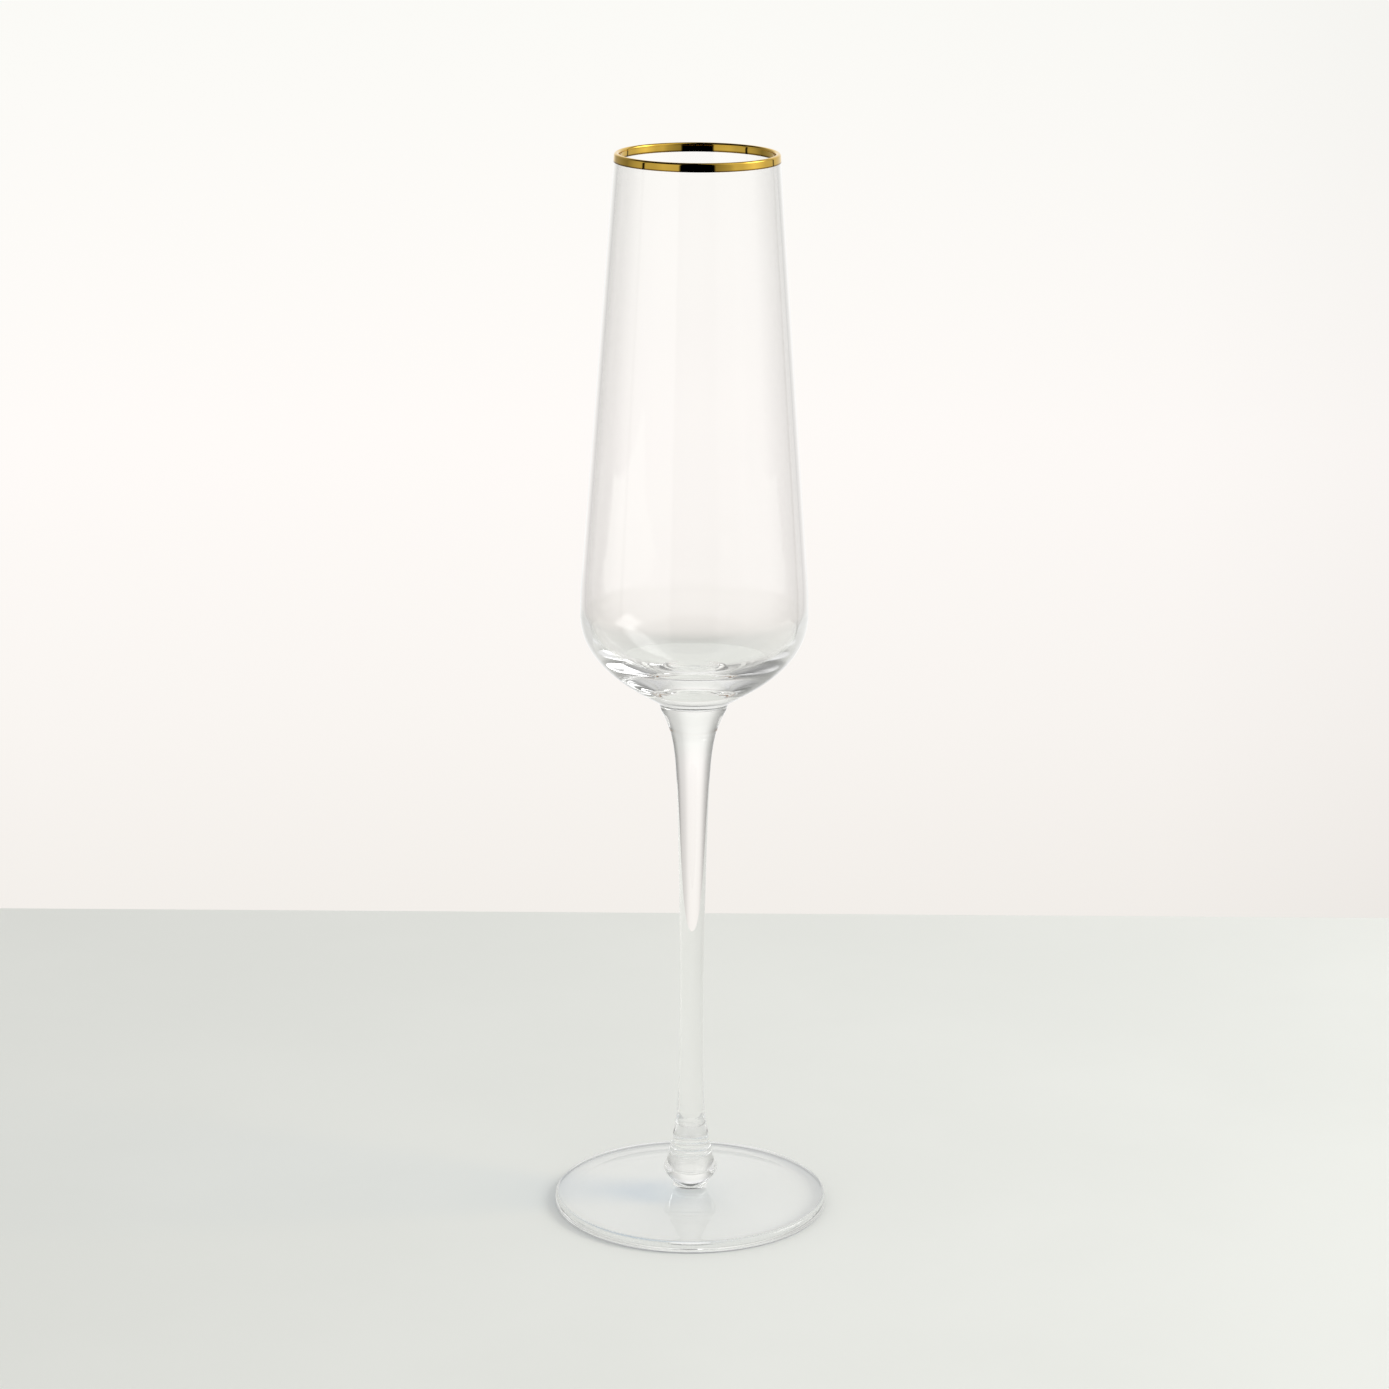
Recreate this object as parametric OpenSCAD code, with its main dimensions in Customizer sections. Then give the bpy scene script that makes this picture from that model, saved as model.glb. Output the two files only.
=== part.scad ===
// Tall stemmed sparkling-wine glass: a tapered clear bowl with a gilt lip, fused
// through a drawn solid stem and a knobbed hub to a round foot.
// Every piece is a solid of revolution about Z. The glass stands on z = 0.
// Outlines are lists of [radius, height] points, in millimetres.

/* [Bowl] */
// Height of the whole glass, over the gilt lip
glass_h = 267; // [255:1:280]
// Outer diameter at the lip, over the gilding
rim_d = 39.8; // [37:0.2:43]
// Largest outer diameter of the bowl
belly_d = 55.9; // [53:0.1:59]
// Height of the largest diameter above the table
belly_z = 154.3; // [150:0.1:158]
// How far the rounded shoulder reaches above the belly
shoulder_h = 13.4; // [8:0.2:20]
// Glass thickness at the lip
lip_wall = 1.1; // [0.9:0.05:1.5]
// Glass thickness at the belly
belly_wall = 1.3; // [1:0.05:1.8]
// Height of the bowl's inner floor above the table
floor_z = 138.8; // [137:0.1:141]

/* [Gilt lip] */
// Height of the gilt band down the outside and the inside of the lip
band_h = 1.9; // [1.2:0.1:4]
// Thickness of the gilt band
band_t = 0.1; // [0.08:0.01:0.2]

/* [Stem] */
// Height of the seam between bowl and stem, on the outside
seam_z = 132.1; // [129:0.1:135]
// Diameter of that seam
seam_d = 18.2; // [16:0.1:20]
// Slope of the bowl's underside at the seam, from level
seam_slope = 32; // [28:1:38]
// Diameter of the stem where it is thinnest
stem_d = 5.9; // [5.2:0.1:6.6]
// Height at which the flare under the bowl has run out
flare_end_z = 65; // [55:1:75]

/* [Hub] */
// Height of the seam between stem and hub, on the outside
tip_z = 22.7; // [21.5:0.1:24]
// Diameter of that seam
tip_d = 7.5; // [7:0.1:8]
// How deep the stem's rounded tip is sunk in the hub
tip_h = 2.6; // [1.8:0.1:3.2]
// Diameter of the collar, over the lower of its two rings
collar_d = 10.6; // [9.8:0.1:11.4]
// Height of the collar's lower edge
collar_z = 13.3; // [12.9:0.1:13.8]
// Height of each of the collar's two rings
ring_h = 1.3; // [0.9:0.1:1.6]
// Largest diameter of the knob under the collar
knob_d = 13.7; // [12.8:0.1:14.8]
// Height of the middle of the knob's ring
knob_z = 9.4; // [9:0.1:9.8]
// Height of the knob's ring, from edge to edge
knob_h = 1.8; // [1.2:0.1:2.4]
// Diameter of the hub where it sits on the foot
hub_foot_d = 7.8; // [7:0.1:8.6]

/* [Foot] */
// Diameter of the foot
foot_d = 68.8; // [62:0.2:74]
// Thickness of the foot at its rim
foot_edge = 2.9; // [2.2:0.1:3.6]
// Height of the foot's top face under the hub
crown_z = 5.2; // [4.8:0.1:5.6]
// How far the underside is hollowed at the middle
hollow_h = 1.7; // [0.8:0.1:2]
// Width of the flat ring that the glass stands on
stand_w = 2.6; // [1.5:0.1:4]

/* [Hidden] */
$fn = 96;

clear_glass = [0.88, 0.93, 0.92, 0.45];
gilt = [0.83, 0.62, 0.22];

// Points on each curved stretch of an outline
fine = 24;
short = 8;

rim_r = rim_d / 2;
belly_r = belly_d / 2;
seam_r = seam_d / 2;
stem_r = stem_d / 2;
tip_r = tip_d / 2;
collar_r = collar_d / 2;
knob_r = knob_d / 2;
hub_foot_r = hub_foot_d / 2;
foot_r = foot_d / 2;

// The lip is a half round of this radius, and its centre is the top of both walls
lip_r = lip_wall / 2;
lip = [rim_r - band_t - lip_r, glass_h - band_t - lip_r];
// The outer wall is a straight cone from the lip down to the shoulder
taper = 0.0757;
shoulder = [belly_r - 0.67, belly_z + shoulder_h];
wall_tilt = atan(taper);
seam = [seam_r, seam_z];
seat_sphere_r = seam_r / sin(seam_slope);
seat_z = seam_z - seat_sphere_r * (1 - cos(seam_slope));
crown = [hub_foot_r, crown_z];
socket_slope = 24;
socket_r = hub_foot_r / sin(socket_slope);

// A point p moved a distance d in the direction a, in degrees from outward
function polar_from(p, a, d) = p + d * [cos(a), sin(a)];
// Points along the arc about c from angle a to angle b
function arc(c, r, a, b, n) = [for (i = [0:n]) polar_from(c, a + (b - a) * i / n, r)];
// One point of the smooth curve that leaves p0 towards p1 and reaches p3 from p2
function curve_at(p0, p1, p2, p3, t) =
    pow(1 - t, 3) * p0 + 3 * pow(1 - t, 2) * t * p1 + 3 * (1 - t) * t * t * p2 + pow(t, 3) * p3;
function curve(p0, p1, p2, p3, n) = [for (i = [0:n]) curve_at(p0, p1, p2, p3, i / n)];
// A bead: the arc from p to q that swells sideways by h at its middle
function bead(p, q, h, n) =
    let (mid = (p + q) / 2, half = norm(q - p) / 2, r = (half * half + h * h) / (2 * h),
         side = [p[1] - q[1], q[0] - p[0]] / (2 * half), c = mid - side * (r - h),
         a = atan2(p[1] - c[1], p[0] - c[0]), b = atan2(q[1] - c[1], q[0] - c[0]))
    arc(c, r, a, b, n);
// The list v backwards
function flip(v) = [for (i = [len(v) - 1:-1:0]) v[i]];
// The list v without its first point, for joining on to the stretch before it
function rest_of(v) = [for (i = [1:len(v) - 1]) v[i]];

// Half round over the lip and a little of both walls, at a distance r from its centre
function lip_arc(r) = arc(lip, r, wall_tilt, 180 + wall_tilt, 16);
// Where a wall at a distance r from the lip's centre ends, a height h below the top
function outer_end(r, h) =
    let (top = polar_from(lip, wall_tilt, r)) top + [taper, -1] * (h - lip_r);
function inner_end(r, h) =
    let (top = polar_from(lip, 180 + wall_tilt, r)) top + [taper, -1] * (h - lip_r);

// Outside of the bowl, from the lip down to the seam
function bowl_outside() = concat(
    [outer_end(lip_r, band_h)],
    curve(shoulder, shoulder + [taper, -1] * shoulder_h * 0.4, [belly_r, belly_z + shoulder_h * 0.4],
          [belly_r, belly_z], short),
    rest_of(curve([belly_r, belly_z], [belly_r, belly_z - 12.1],
                  polar_from(seam, seam_slope, 7.8), seam, fine)));
// Inside of the bowl, from the middle of its floor up to the lip
function bowl_inside() = concat(
    curve([0, floor_z], [15.5, floor_z], [belly_r - belly_wall, belly_z - 10.5],
          [belly_r - belly_wall, belly_z + 2], fine),
    [shoulder - [lip_wall * 1.1, 0], inner_end(lip_r, band_h)]);
// Shared face where the bowl's round underside sits in the cupped top of the stem
function bowl_seat() = arc([0, seat_z + seat_sphere_r], seat_sphere_r, seam_slope - 90, -90, short);
// Shared face where the stem's rounded tip is sunk in the hub
function tip_seat() =
    curve([tip_r, tip_z], [tip_r - 0.1, tip_z - 1.4], [tip_r * 0.6, tip_z - tip_h], [0, tip_z - tip_h], 12);
// Shared face where the hub's base sits in a dish in the foot
function hub_seat() =
    arc([0, crown_z + socket_r * cos(socket_slope)], socket_r, socket_slope - 90, -90, short);

// Side of the stem: a small fillet and the flare under the bowl, the slim rod, then the swell
// above the hub
waist = [stem_r + 0.02, flare_end_z];
under_seam = seam - [1.12, 2.4];
function stem_side() = concat(
    curve(seam, seam - [0.75, 0.62], under_seam + [0.42, 0.9], under_seam, short),
    rest_of(curve(under_seam, [stem_r + 0.9, seam_z - 11.4], [stem_r + 1.1, seam_z - 10.4], waist, fine)),
    rest_of(curve(waist, [stem_r - 0.06, 48], [stem_r - 0.2, tip_z + 7.3], [tip_r, tip_z], fine)));

// Side of the hub: the flare, two collar rings, the skirt, the knob's ring and the taper to the foot
flare_foot = [collar_r - 0.65, collar_z + 2 * ring_h];
ring_foot = [collar_r - 0.25, collar_z + ring_h];
collar_foot = [collar_r - 0.05, collar_z];
knob_top = [knob_r - 0.4, knob_z + knob_h / 2];
knob_foot = [knob_r - 0.35, knob_z - knob_h / 2];
function hub_side() = concat(
    curve([tip_r, tip_z], [tip_r + 0.27, tip_z - 2], flare_foot + [0, 2.3], flare_foot, short),
    rest_of(bead(flare_foot, ring_foot, 0.3, short)),
    rest_of(bead(ring_foot, collar_foot, 0.3, short)),
    rest_of(curve(collar_foot, collar_foot + [0.4, -1], knob_top + [-0.45, 1], knob_top, short)),
    rest_of(bead(knob_top, knob_foot, 0.32, short)),
    rest_of(curve(knob_foot, knob_foot + [-0.6, -1.2], crown + [0.9, 0.9], crown, short)));

// Top of the foot: a small fillet round the hub, then the gentle fall to the rim
fillet_end = crown + [1.1, -0.3];
rim_start = [foot_r - 1, foot_edge];
function foot_top() = concat(
    curve(crown, crown + [0.2, -0.2], fillet_end + [-0.5, 0.03], fillet_end, short),
    rest_of(curve(fillet_end, fillet_end + [9, -0.54], rim_start + [-10, 0.5], rim_start, fine)));
// Rim of the foot: nearly upright, rounded at the top and the bottom
edge_top = [foot_r - 0.08, foot_edge - 0.95];
edge_foot = [foot_r - 0.05, 0.75];
stand_out = [foot_r - 0.9, 0];
function foot_rim() = concat(
    curve(rim_start, rim_start + [0.55, -0.05], edge_top + [-0.02, 0.5], edge_top, short),
    rest_of(bead(edge_top, edge_foot, 0.06, short)),
    rest_of(curve(edge_foot, edge_foot + [-0.02, -0.4], stand_out + [0.45, 0], stand_out, short)));
// Hollowed underside of the foot, from the standing ring in to the middle
stand_in = stand_out - [stand_w, 0];
function foot_under() =
    curve(stand_in, [foot_r * 0.6, hollow_h * 0.6], [foot_r * 0.3, hollow_h], [0, hollow_h], fine);

module turned(outline) {
    rotate_extrude() polygon(outline);
}

module rim_band() {
    color(gilt) turned(concat(
        [outer_end(lip_r + band_t, band_h)],
        lip_arc(lip_r + band_t),
        [inner_end(lip_r + band_t, band_h), inner_end(lip_r, band_h)],
        flip(lip_arc(lip_r)),
        [outer_end(lip_r, band_h)]));
}

module bowl() {
    color(clear_glass) turned(concat(
        flip(bowl_outside()),
        lip_arc(lip_r),
        flip(bowl_inside()),
        flip(bowl_seat())));
}

module stem() {
    color(clear_glass) turned(concat(stem_side(), rest_of(tip_seat()), flip(rest_of(bowl_seat()))));
}

module hub() {
    color(clear_glass) turned(concat(hub_side(), rest_of(hub_seat()), flip(rest_of(tip_seat()))));
}

module foot() {
    color(clear_glass) turned(concat(
        foot_top(),
        rest_of(foot_rim()),
        foot_under(),
        flip(rest_of(hub_seat()))));
}

rim_band();
bowl();
stem();
hub();
foot();
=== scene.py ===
"""Champagne flute: clear glass turned from smooth outlines, with a gilt lip."""

import math

import bmesh
import bpy
from mathutils import Euler, Matrix, Vector


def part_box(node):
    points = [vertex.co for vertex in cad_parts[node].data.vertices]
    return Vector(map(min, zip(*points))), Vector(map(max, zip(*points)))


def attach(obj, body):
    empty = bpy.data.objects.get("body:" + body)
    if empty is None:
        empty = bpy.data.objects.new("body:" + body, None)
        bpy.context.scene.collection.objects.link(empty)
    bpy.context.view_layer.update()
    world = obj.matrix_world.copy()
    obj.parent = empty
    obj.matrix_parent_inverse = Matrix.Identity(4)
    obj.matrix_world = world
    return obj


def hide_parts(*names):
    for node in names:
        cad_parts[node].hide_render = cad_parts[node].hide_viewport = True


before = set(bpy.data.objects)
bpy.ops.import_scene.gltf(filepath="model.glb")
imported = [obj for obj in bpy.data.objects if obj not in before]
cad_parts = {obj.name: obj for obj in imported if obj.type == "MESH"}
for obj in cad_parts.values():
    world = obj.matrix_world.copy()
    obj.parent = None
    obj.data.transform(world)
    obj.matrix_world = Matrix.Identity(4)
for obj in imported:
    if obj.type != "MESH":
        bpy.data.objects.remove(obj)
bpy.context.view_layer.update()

MM = 0.001

# ---------------------------------------------------------------- sizes, in millimetres, from the frame


def corner(node, which):
    """The lowest (0) or highest (1) corner of a CAD node, in millimetres."""
    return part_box(node)[which] / MM


glass_h = corner("rim_band", 1).z
belly_r = corner("bowl", 1).x
seam = Vector((corner("stem", 1).x, corner("stem", 1).z))
tip_z = corner("hub", 1).z
tip_bottom = corner("stem", 0).z
crown_z = corner("foot", 1).z
dish_z = corner("hub", 0).z
foot_r = corner("foot", 1).x
bowl_bottom = corner("bowl", 0).z

# A run is how far a curve goes straight on from a point. An inset is measured in from an edge.
band_h = glass_h - corner("rim_band", 0).z
band_t = 0.1
lip_wall = 1.1
belly_wall = 1.3
belly_z = 154.3
belly_run = 12.1
seam_run = 7.8
shoulder_inset = 0.67
shoulder_h = 13.4
taper = 0.0757
rim_r = corner("rim_band", 1).x - taper * (band_h - band_t - lip_wall / 2)
floor_z = 138.8
floor_run = 15.5
inside_run = 12.5
seam_fillet = Vector((1.12, 2.4))
stem_r = 2.95
tip_r = 3.75
flare_end_z = 65
slim_z = 48
collar_r = 5.3
collar_z = 13.3
ring_h = 1.3
ring_swell = 0.3
knob_r = 6.85
knob_z = 9.4
knob_h = 1.8
knob_swell = 0.32
hub_foot_r = 3.9
crown_fillet = Vector((1.1, -0.3))
foot_edge = 2.9
edge_inset = 1.0
edge_swell = 0.06
hollow_h = 1.7
stand_inset = 0.9
stand_w = 2.6

# Points nearer than this are one point. Vectors only keep about seven digits.
same_point = 1e-3
# Faces that meet at a sharper angle than this keep a crisp edge
crisp_angle = math.radians(35)

# ---------------------------------------------------------------- outlines of [radius, height] points

# Numbers that are added to a point in this part are small steps and the pulls of its curves, in
# millimetres.


def toward(point, degrees, distance):
    """The point moved a distance in a direction, in degrees from outward."""
    angle = math.radians(degrees)
    return Vector(point) + distance * Vector((math.cos(angle), math.sin(angle)))


def arc(centre, radius, start, end, count):
    """Points along an arc from one angle to another, in degrees."""
    return [toward(centre, start + (end - start) * i / count, radius) for i in range(count + 1)]


def curve(start, leave, reach, end, count):
    """Points along the smooth curve that leaves its start towards one point and reaches its end
    from another."""
    start, leave, reach, end = map(Vector, (start, leave, reach, end))
    steps = [i / count for i in range(count + 1)]
    return [
        (1 - t) ** 3 * start + 3 * (1 - t) ** 2 * t * leave + 3 * (1 - t) * t * t * reach + t**3 * end
        for t in steps
    ]


def bead(start, end, height, count):
    """The arc from one point to another that swells sideways by a height at its middle."""
    start, end = Vector(start), Vector(end)
    half = (end - start).length / 2
    radius = (half * half + height * height) / (2 * height)
    side = Vector((start.y - end.y, end.x - start.x)) / (2 * half)
    centre = (start + end) / 2 - side * (radius - height)
    first = math.degrees(math.atan2(*(start - centre).yx))
    last = math.degrees(math.atan2(*(end - centre).yx))
    return arc(centre, radius, first, last, count)


def chain(*stretches):
    """One outline from stretches that each start where the last one ends."""
    points = list(stretches[0])
    for stretch in stretches[1:]:
        gap = (Vector(stretch[0]) - Vector(points[-1])).length
        points += stretch[1:] if gap < same_point else stretch
    return points


lip_r = lip_wall / 2
lip = Vector((rim_r - band_t - lip_r, glass_h - band_t - lip_r))
wall_tilt = math.degrees(math.atan(taper))
shoulder = Vector((belly_r - shoulder_inset, belly_z + shoulder_h))
down_wall = Vector((taper, -1))
seat_sag = seam.y - bowl_bottom
seat_r = (seam.x**2 + seat_sag**2) / (2 * seat_sag)
seam_slope = math.degrees(math.asin(seam.x / seat_r))
dish_sag = crown_z - dish_z
dish_r = (hub_foot_r**2 + dish_sag**2) / (2 * dish_sag)
dish_slope = math.degrees(math.asin(hub_foot_r / dish_r))


def lip_arc(radius):
    """Half round over the lip, from the outside wall to the inside wall."""
    return arc(lip, radius, wall_tilt, 180 + wall_tilt, 24)


def wall_end(radius, side, height):
    """Where a wall ends at a height below the top. side is 0 outside and 180 inside."""
    return toward(lip, wall_tilt + side, radius) + down_wall * (height - lip_r)


def straight(start, end, count):
    """Evenly spaced points on a line."""
    start, end = Vector(start), Vector(end)
    return [start.lerp(end, i / count) for i in range(count + 1)]


def bowl_outside():
    """Outside of the bowl, from the lip's round down to the seam."""
    belly = Vector((belly_r, belly_z))
    below_shoulder = shoulder + down_wall * shoulder_h * 0.4
    above_belly = belly + Vector((0, shoulder_h * 0.4))
    return chain(
        straight(toward(lip, wall_tilt, lip_r), shoulder, 60),
        curve(shoulder, below_shoulder, above_belly, belly, 24),
        curve(belly, belly - Vector((0, belly_run)), toward(seam, seam_slope, seam_run), seam, 60),
    )


def bowl_inside():
    """Inside of the bowl, from the middle of its floor up to the lip's round."""
    wall = belly_r - belly_wall
    widest_z = belly_z + 2
    inner_shoulder = shoulder - Vector((lip_wall * 1.1, 0))
    return chain(
        curve((0, floor_z), (floor_run, floor_z), (wall, widest_z - inside_run), (wall, widest_z), 60),
        curve((wall, widest_z), (wall, widest_z + 4), inner_shoulder + down_wall * 4, inner_shoulder, 24),
        straight(inner_shoulder, toward(lip, 180 + wall_tilt, lip_r), 60),
    )


def bowl_seat():
    """Where the bowl's round underside sits in the cupped top of the stem, from the seam inward."""
    return arc((0, bowl_bottom + seat_r), seat_r, seam_slope - 90, -90, 12)


def tip_seat():
    """Where the stem's rounded tip is sunk in the hub, from the seam inward."""
    return curve((tip_r, tip_z), (tip_r - 0.1, tip_z - 1.4), (tip_r * 0.6, tip_bottom), (0, tip_bottom), 24)


def hub_seat():
    """Where the hub's base sits in a dish in the foot, from the seam inward."""
    return arc((0, dish_z + dish_r), dish_r, dish_slope - 90, -90, 8)


def stem_side():
    """Side of the stem: the flare under the bowl, the slim rod, then the swell above the hub."""
    waist = (stem_r + 0.02, flare_end_z)
    under_seam = seam - seam_fillet
    return chain(
        curve(seam, seam - Vector((0.75, 0.62)), under_seam + Vector((0.42, 0.9)), under_seam, 12),
        curve(under_seam, (stem_r + 0.9, seam.y - 11.4), (stem_r + 1.1, seam.y - 10.4), waist, 48),
        curve(waist, (stem_r - 0.06, slim_z), (stem_r - 0.2, tip_z + 7.3), (tip_r, tip_z), 32),
    )


def hub_side():
    """Side of the hub: the flare, two collar rings, the skirt, the knob's ring and the taper."""
    flare_foot = Vector((collar_r - 0.65, collar_z + 2 * ring_h))
    ring_foot = Vector((collar_r - 0.25, collar_z + ring_h))
    collar_foot = Vector((collar_r - 0.05, collar_z))
    knob_top = Vector((knob_r - 0.4, knob_z + knob_h / 2))
    knob_foot = Vector((knob_r - 0.35, knob_z - knob_h / 2))
    crown = Vector((hub_foot_r, crown_z))
    return chain(
        curve((tip_r, tip_z), (tip_r + 0.27, tip_z - 2), flare_foot + Vector((0, 2.3)), flare_foot, 16),
        bead(flare_foot, ring_foot, ring_swell, 10),
        bead(ring_foot, collar_foot, ring_swell, 10),
        curve(collar_foot, collar_foot + Vector((0.4, -1)), knob_top + Vector((-0.45, 1)), knob_top, 20),
        bead(knob_top, knob_foot, knob_swell, 10),
        curve(knob_foot, knob_foot + Vector((-0.6, -1.2)), crown + Vector((0.9, 0.9)), crown, 16),
    )


rim_start = Vector((foot_r - edge_inset, foot_edge))
stand_out = Vector((foot_r - stand_inset, 0))
stand_in = stand_out - Vector((stand_w, 0))


def foot_top():
    """Top of the foot: a small fillet round the hub, then the gentle fall to the rim."""
    crown = Vector((hub_foot_r, crown_z))
    fillet_end = crown + crown_fillet
    return chain(
        curve(crown, crown + Vector((0.2, -0.2)), fillet_end + Vector((-0.5, 0.03)), fillet_end, 8),
        curve(fillet_end, fillet_end + Vector((9, -0.54)), rim_start + Vector((-10, 0.5)), rim_start, 32),
    )


def foot_rim():
    """Rim of the foot: nearly upright, rounded at the top and the bottom."""
    edge_top = Vector((foot_r - 0.08, foot_edge - 0.95))
    edge_foot = Vector((foot_r - 0.05, 0.75))
    return chain(
        curve(rim_start, rim_start + Vector((0.55, -0.05)), edge_top + Vector((-0.02, 0.5)), edge_top, 16),
        bead(edge_top, edge_foot, edge_swell, 8),
        curve(edge_foot, edge_foot + Vector((-0.02, -0.4)), stand_out + Vector((0.45, 0)), stand_out, 12),
    )


def foot_under():
    """Underside of the foot: the ring that it stands on, then the hollow in to the middle."""
    return chain(
        straight(stand_out, stand_in, 2),
        curve(stand_in, (foot_r * 0.6, hollow_h * 0.6), (foot_r * 0.3, hollow_h), (0, hollow_h), 24),
    )


# ---------------------------------------------------------------- meshes


def turned(name, stretches, segments=256):
    """A closed solid turned about Z from (outline stretch, material index) pairs that follow one another.
    A point on the axis becomes one vertex."""
    verts, faces, slots = [], [], []

    def ring(point):
        """The numbers of the vertices that a point sweeps out, the same one all round on the axis."""
        start = len(verts)
        if point.x < 1e-6:
            verts.append((0, 0, point.y * MM))
            return [start] * segments
        for i in range(segments):
            angle = 2 * math.pi * i / segments
            verts.append((point.x * math.cos(angle) * MM, point.x * math.sin(angle) * MM, point.y * MM))
        return list(range(start, start + segments))

    first = Vector(stretches[0][0][0])
    previous_point, previous = first, ring(first)
    opening = previous
    for points, slot in stretches:
        for point in map(Vector, points):
            if (point - previous_point).length < same_point:
                continue
            closes = (point - first).length < same_point
            current = opening if closes else ring(point)
            for i in range(segments):
                j = (i + 1) % segments
                corners = [previous[i], current[i], current[j], previous[j]]
                face = [v for k, v in enumerate(corners) if v != corners[k - 1]]
                if len(face) > 2:
                    faces.append(face)
                    slots.append(slot)
            previous_point, previous = point, current
    mesh = bpy.data.meshes.new(name)
    mesh.from_pydata(verts, [], faces)
    mesh.polygons.foreach_set("material_index", slots)
    mesh.polygons.foreach_set("use_smooth", [True] * len(faces))
    mesh.set_sharp_from_angle(angle=crisp_angle)
    face_outward(mesh)
    piece = bpy.data.objects.new(name, mesh)
    bpy.context.scene.collection.objects.link(piece)
    return piece


def face_outward(mesh):
    """Turns every face of a closed mesh to look out of the solid."""
    work = bmesh.new()
    work.from_mesh(mesh)
    if work.calc_volume(signed=True) < 0:
        bmesh.ops.reverse_faces(work, faces=work.faces)
    work.to_mesh(mesh)
    work.free()


def backwards(points):
    """An outline run from its other end."""
    return list(reversed(points))


def finish_piece(piece, node, slot, *materials):
    """Gives a piece its materials and its body, and hides the CAD node that it stands for. slot is not used.
    """
    for material in materials:
        piece.data.materials.append(material)
    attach(piece, "root")
    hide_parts(node)


# ---------------------------------------------------------------- materials


class Nodes:
    """Short names for the node maths that the materials and the world's light are made of."""

    def __init__(self, tree):
        self.tree = tree

    def math(self, operation, a, b=0.0):
        """One step of arithmetic on numbers or sockets."""
        node = self.tree.nodes.new("ShaderNodeMath")
        node.operation = operation
        for socket, value in zip(node.inputs, (a, b)):
            if isinstance(value, (int, float)):
                socket.default_value = value
            else:
                self.tree.links.new(value, socket)
        return node.outputs[0]

    def ramp(self, value, stops, smooth=True):
        """A grey or colour that runs through (position, colour) stops."""
        node = self.tree.nodes.new("ShaderNodeValToRGB")
        node.color_ramp.interpolation = "EASE" if smooth else "LINEAR"
        elements = node.color_ramp.elements
        while len(elements) < len(stops):
            elements.new(0.5)
        for element, (position, colour) in zip(elements, stops):
            element.position = position
            element.color = colour if isinstance(colour, tuple) else (colour, colour, colour, 1)
        self.tree.links.new(value, node.inputs[0])
        return node.outputs["Color"]

    def mix(self, factor, a, b, blend="MIX"):
        """Two colours mixed or otherwise combined, each a colour or a socket."""
        node = self.tree.nodes.new("ShaderNodeMix")
        node.data_type = "RGBA"
        node.blend_type = blend
        for socket, value in ((node.inputs["Factor"], factor), (node.inputs[6], a), (node.inputs[7], b)):
            if isinstance(value, (int, float, tuple)):
                socket.default_value = value
            else:
                self.tree.links.new(value, socket)
        return node.outputs[2]


def new_material(name):
    """A material that is one principled shader, with its node tree and that shader."""
    material = bpy.data.materials.new(name)
    material.use_nodes = True
    tree = material.node_tree
    tree.nodes.clear()
    output = tree.nodes.new("ShaderNodeOutputMaterial")
    shader = tree.nodes.new("ShaderNodeBsdfPrincipled")
    tree.links.new(shader.outputs["BSDF"], output.inputs["Surface"])
    return material, tree, shader


def grain(tree, scale, detail, stretch=(1, 1, 1)):
    """Noise over the object, scale waves to the metre, squeezed by stretch along X, Y and Z."""
    place = tree.nodes.new("ShaderNodeTexCoord")
    squeeze = tree.nodes.new("ShaderNodeMapping")
    squeeze.inputs["Scale"].default_value = stretch
    noise = tree.nodes.new("ShaderNodeTexNoise")
    noise.inputs["Scale"].default_value = scale
    noise.inputs["Detail"].default_value = detail
    tree.links.new(place.outputs["Object"], squeeze.inputs["Vector"])
    tree.links.new(squeeze.outputs["Vector"], noise.inputs["Vector"])
    return noise.outputs["Fac"]


def dress(tree, shader, source, tones, roughness, bump):
    """Runs a noise through two tones, two roughness values and a bump of a strength and height."""
    nodes = Nodes(tree)
    tone = nodes.ramp(source, [(0.35, tones[0]), (0.65, tones[1])])
    tree.links.new(tone, shader.inputs["Base Color"])
    rough = nodes.ramp(source, [(0.3, roughness[0]), (0.7, roughness[1])])
    tree.links.new(rough, shader.inputs["Roughness"])
    relief = tree.nodes.new("ShaderNodeBump")
    relief.inputs["Strength"].default_value = bump[0]
    relief.inputs["Distance"].default_value = bump[1]
    tree.links.new(source, relief.inputs["Height"])
    tree.links.new(relief.outputs["Normal"], shader.inputs["Normal"])


# How many faces light meets before it leaks out: in the bowl and at the seams, and in the stem,
# the hub and the foot
deep = 30
shallow = 8


def glass_material(name, passes, trapped):
    """Colourless glass, faintly uneven from the fire. passes and trapped are as in let_lamps_through."""
    material, tree, shader = new_material(name)
    shader.inputs["IOR"].default_value = 1.5
    shader.inputs["Transmission Weight"].default_value = 1
    tones = ((0.996, 0.995, 0.993, 1), (1.0, 0.999, 0.997, 1))
    dress(tree, shader, grain(tree, 38, detail=1.0), tones, (0.0, 0.002), (0.002, 0.001))
    let_lamps_through(tree, shader, passes, trapped)
    return material


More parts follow.
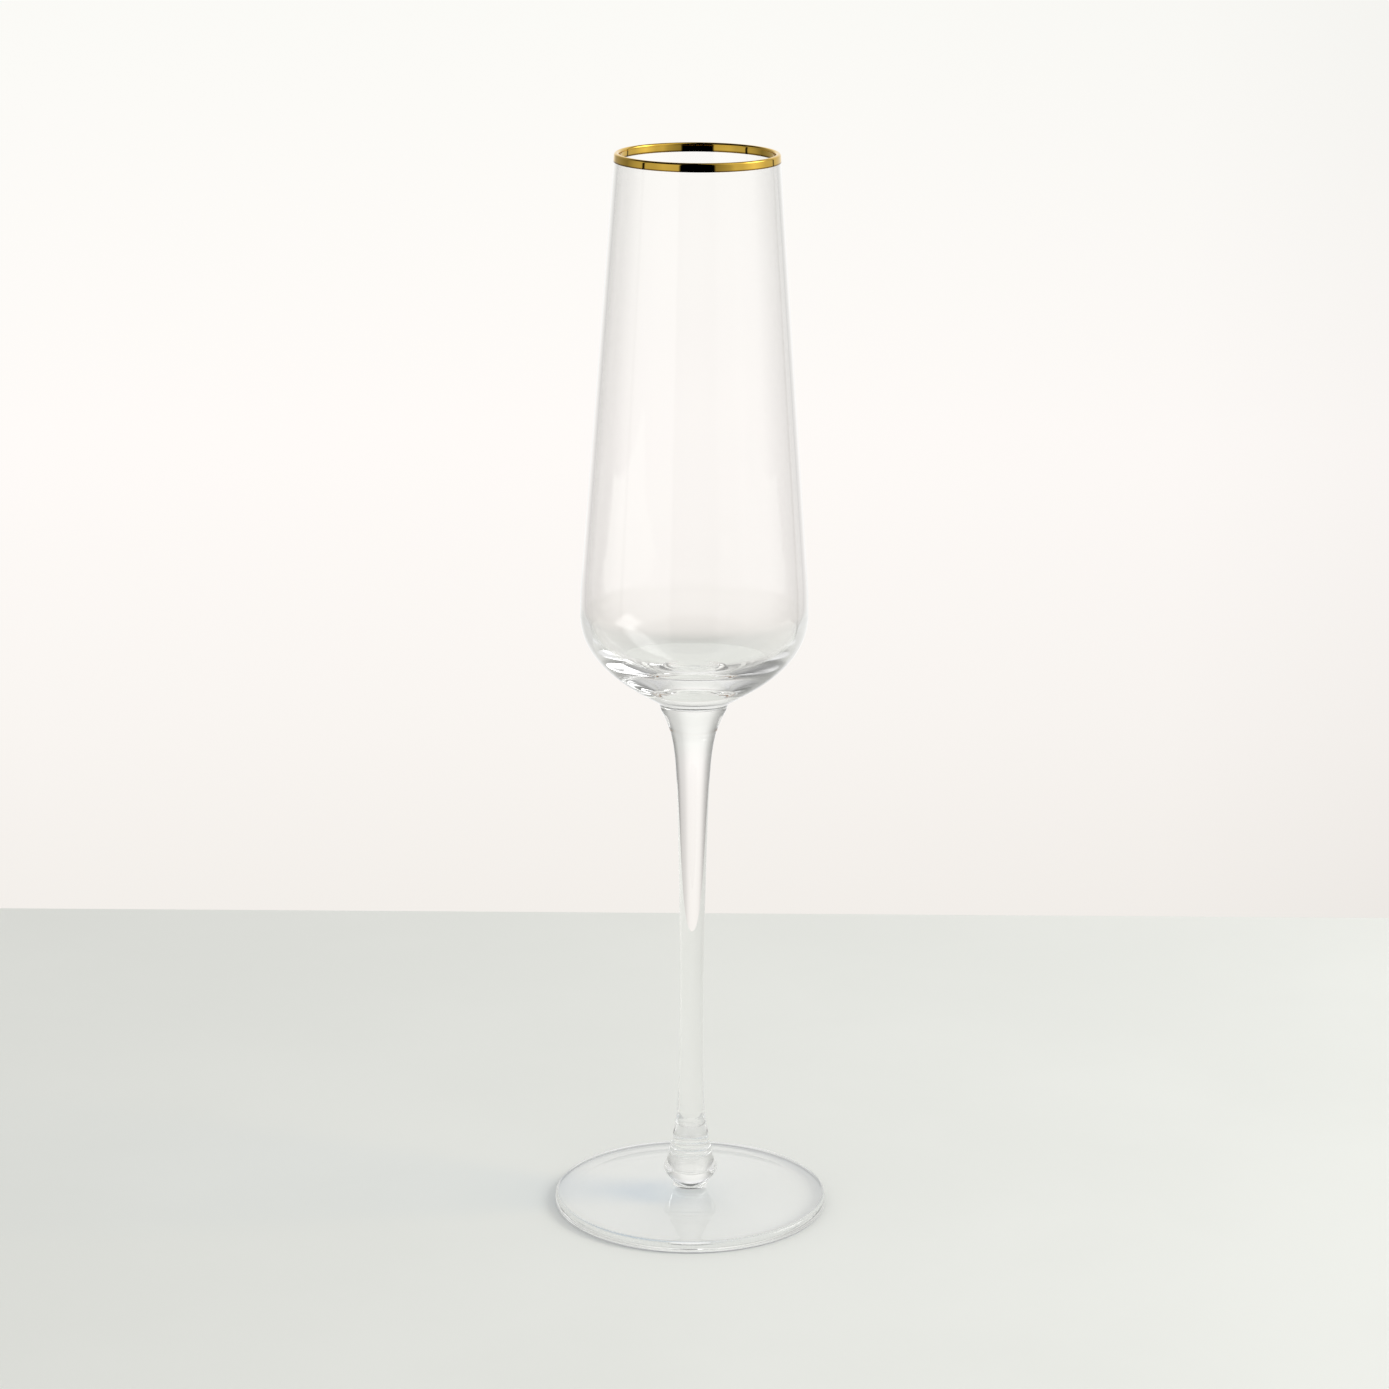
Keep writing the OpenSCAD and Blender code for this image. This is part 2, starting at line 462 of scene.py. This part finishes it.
def let_lamps_through(tree, shader, passes, trapped):
    """Glass that lets what lights the table straight through. passes is the share that comes through
    each face. What the gold and the outside of the glass mirror comes straight through as well,
    nearly undimmed. Light that is caught inside leaks out after the trapped number of faces."""
    output = next(node for node in tree.nodes if node.type == "OUTPUT_MATERIAL")
    path = tree.nodes.new("ShaderNodeLightPath")
    clear = tree.nodes.new("ShaderNodeBsdfTransparent")
    clear.inputs["Color"].default_value = (0.985, 0.986, 0.985, 1)
    shade = tree.nodes.new("ShaderNodeBsdfTransparent")
    shade.inputs["Color"].default_value = (*passes, 1)
    seen = shader.outputs["BSDF"]
    for ray in ("Is Diffuse Ray", "Is Shadow Ray"):
        choice = tree.nodes.new("ShaderNodeMixShader")
        tree.links.new(path.outputs[ray], choice.inputs[0])
        tree.links.new(seen, choice.inputs[1])
        tree.links.new(shade.outputs[0], choice.inputs[2])
        seen = choice.outputs[0]
    bent = tree.nodes.new("ShaderNodeMixShader")
    tree.links.new(path.outputs["Transmission Depth"], bent.inputs[0])
    tree.links.new(clear.outputs[0], bent.inputs[1])
    tree.links.new(seen, bent.inputs[2])
    leaks = tree.nodes.new("ShaderNodeMixShader")
    met_enough = Nodes(tree).math("GREATER_THAN", path.outputs["Ray Depth"], trapped)
    tree.links.new(met_enough, leaks.inputs[0])
    tree.links.new(bent.outputs[0], leaks.inputs[1])
    tree.links.new(clear.outputs[0], leaks.inputs[2])
    choice = tree.nodes.new("ShaderNodeMixShader")
    tree.links.new(path.outputs["Is Glossy Ray"], choice.inputs[0])
    tree.links.new(seen, choice.inputs[1])
    tree.links.new(leaks.outputs[0], choice.inputs[2])
    tree.links.new(choice.outputs[0], output.inputs["Surface"])


def seam_material(name, ior):
    """The fused face inside the glass. It bends light only as much as the seam can be seen."""
    material, tree, shader = new_material(name)
    shader.inputs["Base Color"].default_value = (1, 1, 1, 1)
    shader.inputs["Roughness"].default_value = 0
    shader.inputs["IOR"].default_value = ior
    shader.inputs["Transmission Weight"].default_value = 1
    let_lamps_through(tree, shader, (1, 1, 1), deep)
    return material


def gilt_material(lower_edge):
    """Bright gold, burnished round the lip, so its fine marks run level. It thins to a darker line
    at its lower edge, whose height is in metres."""
    material, tree, shader = new_material("gilt")
    shader.inputs["Metallic"].default_value = 1
    tones = ((0.81, 0.52, 0.085, 1), (0.77, 0.49, 0.078, 1))
    marks = grain(tree, 260, detail=4.0, stretch=(0.25, 0.25, 12))
    dress(tree, shader, marks, tones, (0.015, 0.03), (0.05, 0.00002))
    nodes = Nodes(tree)
    split = tree.nodes.new("ShaderNodeSeparateXYZ")
    tree.links.new(tree.nodes.new("ShaderNodeTexCoord").outputs["Object"], split.inputs[0])
    above_edge = nodes.math("DIVIDE", nodes.math("SUBTRACT", split.outputs["Z"], lower_edge), MM)
    edge_line = nodes.ramp(above_edge, [(0.12, (0.30, 0.26, 0.22, 1)), (0.34, (1, 1, 1, 1))])
    tone = shader.inputs["Base Color"].links[0].from_socket
    tree.links.new(nodes.mix(1.0, tone, edge_line, "MULTIPLY"), shader.inputs["Base Color"])
    return material


# ---------------------------------------------------------------- the flute

thin_passes = (0.985, 0.986, 0.988)
bowl_glass = glass_material("bowl_glass", thin_passes, deep)
thick_glass = glass_material("thick_glass", (0.62, 0.74, 0.88), shallow)
foot_glass = glass_material("foot_glass", thin_passes, shallow)
rim_glass = glass_material("rim_glass", (0.50, 0.51, 0.54), shallow)
fused = seam_material("fused_seam", 1.0)
tip_mark = seam_material("tip_seam", 1.035)

bowl = turned("glass_bowl", [
    (backwards(bowl_outside()), 0),
    (lip_arc(lip_r), 0),
    (backwards(bowl_inside()), 0),
    (backwards(bowl_seat()), 1),
])
finish_piece(bowl, "bowl", "clear_glass", bowl_glass, fused)

stem = turned("glass_stem", [
    (stem_side(), 0),
    (tip_seat(), 1),
    (backwards(bowl_seat()), 2),
], segments=192)
finish_piece(stem, "stem", "clear_glass", thick_glass, tip_mark, fused)

hub = turned("glass_hub", [
    (hub_side(), 0),
    (hub_seat(), 1),
    (backwards(tip_seat()), 1),
], segments=192)
finish_piece(hub, "hub", "clear_glass", thick_glass, fused)

foot = turned("glass_foot", [
    (foot_top(), 0),
    (foot_rim(), 1),
    (foot_under(), 0),
    (backwards(hub_seat()), 2),
])
finish_piece(foot, "foot", "clear_glass", foot_glass, rim_glass, fused)

band_outer = lip_r + band_t
up_outside = straight(wall_end(band_outer, 0, band_h), toward(lip, wall_tilt, band_outer), 4)
down_inside = straight(toward(lip, 180 + wall_tilt, band_outer), wall_end(band_outer, 180, band_h), 4)
rim_band = turned("gilt_band", [
    (chain(up_outside, lip_arc(band_outer), down_inside), 0),
    ([wall_end(lip_r, 180, band_h)], 0),
    (backwards(lip_arc(lip_r)), 0),
    ([wall_end(lip_r, 0, band_h), wall_end(band_outer, 0, band_h)], 0),
])
gilt = gilt_material(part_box("rim_band")[0].z)
finish_piece(rim_band, "rim_band", "gilt", gilt)

# ---------------------------------------------------------------- stage, light and camera

table_size = Vector((0.55, 0.233, 0.03))
camera_place = Vector((0.0002, -0.9404, 0.3881))
camera_pitch = -15.142
camera_roll = 0.40
camera_lens = 102.5
soft_box_light = 3.4
behind_share = 0.965
table_light = (0.575, 0.578, 0.576, 1)
bounces = 48


def srgb(red, green, blue):
    """A linear colour for a display colour in 0 to 255."""
    def linear(value):
        value /= 255
        return value / 12.92 if value <= 0.04045 else ((value + 0.055) / 1.055) ** 2.4
    return (linear(red), linear(green), linear(blue), 1)


def make_table():
    """A plain pale table top whose back edge stands behind the glass, a hair below the foot."""
    gap = 0.0001
    around = ((-1, -1), (1, -1), (1, 1), (-1, 1))
    verts = [(x * table_size.x, y * table_size.y, z) for z in (-gap - table_size.z, -gap) for x, y in around]
    faces = [(4, 5, 6, 7), (3, 2, 1, 0)] + [(i, (i + 1) % 4, (i + 1) % 4 + 4, i + 4) for i in range(4)]
    mesh = bpy.data.meshes.new("table_top")
    mesh.from_pydata(verts, [], faces)
    table = bpy.data.objects.new("table_top", mesh)
    bpy.context.scene.collection.objects.link(table)
    material, tree, shader = new_material("pale_stone")
    tones = ((0.844, 0.852, 0.803, 1), (0.869, 0.876, 0.828, 1))
    dress(tree, shader, grain(tree, 9, detail=5.0), tones, (0.46, 0.54), (0.03, 0.0005))
    mesh.materials.append(material)


make_table()


def make_world():
    """Walls all round, bright behind the glass and darker to the sides. What mirrors in the glass
    and the gold sees the studio instead: panels at both sides and a dark gap where the camera
    stands. A soft box is added to both."""
    world = bpy.data.worlds.new("studio")
    bpy.context.scene.world = world
    world.use_nodes = True
    tree = world.node_tree
    tree.nodes.clear()
    nodes = Nodes(tree)
    output = tree.nodes.new("ShaderNodeOutputWorld")
    background = tree.nodes.new("ShaderNodeBackground")
    tree.links.new(background.outputs[0], output.inputs[0])
    direction = tree.nodes.new("ShaderNodeTexCoord").outputs["Generated"]
    split = tree.nodes.new("ShaderNodeSeparateXYZ")
    tree.links.new(direction, split.inputs[0])
    x, y, z = split.outputs
    # 0 on the camera's side of the glass, 0.25 to its right, 0.5 behind the glass, 0.75 to its left
    around = nodes.math("ARCTAN2", x, nodes.math("MULTIPLY", y, -1))
    turn = nodes.math("FRACT", nodes.math("ADD", nodes.math("DIVIDE", around, 2 * math.pi), 1.0))
    # 0 straight down, 0.5 level, 1 straight up
    rise = nodes.math("ADD", nodes.math("DIVIDE", nodes.math("ARCSINE", z), math.pi), 0.5)

    def at(degrees):
        """How far round a direction is, as turn counts it."""
        return (degrees % 360) / 360

    def up(degrees):
        """How high a direction is, as rise counts it."""
        return degrees / 180 + 0.5

    walls = nodes.ramp(turn, [
        (at(0), 0.95), (at(45), 0.85), (at(70), 0.85), (at(84), 0.75), (at(94), 0.55), (at(107), 0.34),
        (at(117), 0.28), (at(126), 0.30), (at(134), 0.48), (at(142), 0.66), (at(150), 0.71), (at(158), 0.78),
        (at(166), 0.93), (at(173), 1.02), (at(180), 1.04), (at(190), 1.04), (at(200), 0.98), (at(207), 0.84),
        (at(215), 0.62), (at(228), 0.38), (at(240), 0.25), (at(252), 0.20), (at(262), 0.28), (at(270), 0.50),
        (at(280), 0.70), (at(300), 0.80), (at(330), 0.90), (at(359.9), 0.95)], smooth=False)
    heights = nodes.ramp(rise, [
        (up(-90), srgb(200, 200, 194)), (up(-30), srgb(214, 214, 209)), (up(-19), srgb(241, 237, 232)),
        (up(-15.5), srgb(249, 245, 241)), (up(-11.5), srgb(255, 251, 248)), (up(-4), srgb(250, 250, 246)),
        (up(20), srgb(240, 240, 236)), (up(30), srgb(255, 255, 255)), (up(46), srgb(255, 255, 255)),
        (up(60), srgb(90, 90, 90)), (up(90), srgb(60, 60, 60))], smooth=False)
    room = nodes.mix(1.0, walls, heights, "MULTIPLY")
    # What the lip and the glass mirror: lit panels at both sides, the dark gap and two thin slits
    panels = nodes.ramp(turn, [
        (at(0), 0.0), (at(23.5), 0.0), (at(25), 0.30), (at(36), 0.40), (at(45), 0.50), (at(53), 0.72),
        (at(65), 0.72), (at(73), 0.88), (at(84), 1.08), (at(94), 0.96), (at(107), 0.74), (at(122), 0.68),
        (at(126), 0.68), (at(126.5), 0.16), (at(129.8), 0.16), (at(130.3), 0.74), (at(150), 0.82),
        (at(166), 1.0), (at(194), 1.0), (at(210), 0.46), (at(248), 0.26), (at(262), 0.46), (at(273), 0.56),
        (at(278.4), 0.56), (at(278.9), 0.02), (at(282.9), 0.02), (at(283.4), 0.58), (at(300), 0.60),
        (at(312), 0.74), (at(334.5), 0.66), (at(336.5), 0.0)], smooth=False)
    ceiling = nodes.ramp(rise, [(up(28), 1.0), (up(42), 0.04)], smooth=False)
    lit_side = nodes.ramp(turn, [(at(30), 0.0), (at(50), 1.0), (at(130), 1.0), (at(150), 0.0)], smooth=False)
    overhead = nodes.mix(1.0, ceiling, lit_side, "LIGHTEN")
    studio = nodes.mix(1.0, panels, overhead, "MULTIPLY")
    path = tree.nodes.new("ShaderNodeLightPath")
    was_mirrored = nodes.math("GREATER_THAN", path.outputs["Glossy Depth"], 0.5)
    never_bent = nodes.math("LESS_THAN", path.outputs["Transmission Depth"], 0.5)
    mirrored = nodes.math("MULTIPLY", was_mirrored, never_bent)
    seen = nodes.mix(mirrored, room, studio)
    # The soft box that hangs high on the right
    box_turn = nodes.ramp(turn, [(at(78), 0.0), (at(92), 1.0), (at(112), 1.0), (at(124), 0.0)])
    box_rise = nodes.ramp(rise, [(up(20), 0.0), (up(30), 1.0), (up(42), 1.0), (up(52), 0.0)])
    soft_box = nodes.mix(1.0, box_turn, box_rise, "MULTIPLY")
    shine = nodes.mix(1.0, soft_box, (soft_box_light, soft_box_light, soft_box_light, 1), "MULTIPLY")
    seen = nodes.mix(1.0, seen, shine, "ADD")
    # The wall that the camera sees is a little darker than what comes through the glass
    wall = nodes.mix(1.0, room, (behind_share, behind_share, behind_share, 1), "MULTIPLY")
    seen = nodes.mix(path.outputs["Is Camera Ray"], seen, wall)
    # What lights the table is plain and even
    seen = nodes.mix(path.outputs["Is Diffuse Ray"], seen, table_light)
    tree.links.new(seen, background.inputs["Color"])
    background.inputs["Strength"].default_value = 1.0
    world.cycles.sampling_method = "NONE"


make_world()


def area_light(name, place, size, power):
    """A soft lamp aimed at the middle of the glass. It lights the table and casts the glass's
    shadow there, but isn't seen in the glass."""
    data = bpy.data.lights.new(name, "AREA")
    data.shape = "RECTANGLE"
    data.size, data.size_y = size
    data.energy = power
    lamp = bpy.data.objects.new(name, data)
    bpy.context.scene.collection.objects.link(lamp)
    lamp.location = place
    aim = Vector((0, 0, glass_h * MM / 2)) - Vector(place)
    lamp.rotation_euler = aim.to_track_quat("-Z", "Y").to_euler()
    lamp.visible_camera = False
    lamp.visible_glossy = False
    lamp.visible_transmission = False


area_light("key", place=(1.04, -0.12, 0.89), size=(0.6, 0.7), power=11.0)


def make_camera():
    """The camera where the photo's stood, from the fit of its ellipses and its silhouette."""
    data = bpy.data.cameras.new("camera")
    data.lens = camera_lens
    data.sensor_width = 36
    data.clip_start = 0.01
    camera = bpy.data.objects.new("camera", data)
    bpy.context.scene.collection.objects.link(camera)
    tilt = Euler((math.radians(90 + camera_pitch), 0, 0)).to_matrix()
    roll = Matrix.Rotation(math.radians(camera_roll), 3, "Z")
    camera.matrix_world = Matrix.Translation(camera_place) @ (tilt @ roll).to_4x4()
    bpy.context.scene.camera = camera


make_camera()

scene = bpy.context.scene
scene.view_settings.view_transform = "Standard"
scene.cycles.max_bounces = bounces
scene.cycles.transmission_bounces = bounces
scene.cycles.glossy_bounces = bounces
scene.cycles.transparent_max_bounces = bounces
